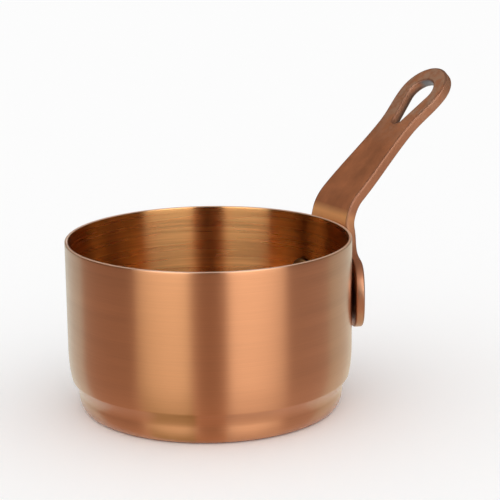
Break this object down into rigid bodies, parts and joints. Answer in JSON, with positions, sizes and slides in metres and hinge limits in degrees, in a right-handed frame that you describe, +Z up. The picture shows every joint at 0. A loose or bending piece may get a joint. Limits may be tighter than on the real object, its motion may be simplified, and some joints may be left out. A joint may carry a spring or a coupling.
{
  "type": "saucepan",
  "caption": "Small straight-sided copper saucepan with a stepped base and a riveted strap handle that ends in a loop with a teardrop hanging hole.",
  "frame": {"origin": "middle of the flat underside of the base, on the pan's axis", "axes": "+Z up the pan's axis, +X along the handle away from the pan, +Y to the left of the handle"},
  "size_m": [0.1369, 0.09, 0.1],
  "materials": {
    "pan_copper": "copper, brushed round the pan",
    "handle_copper": "copper, toned brown with worn edges",
    "rivet_copper": "copper, satin"
  },
  "bodies": {
    "root": {"pan_body": "pan_copper", "handle": "handle_copper", "rivet_left": "rivet_copper", "rivet_right": "rivet_copper"}
  },
  "joints": []
}
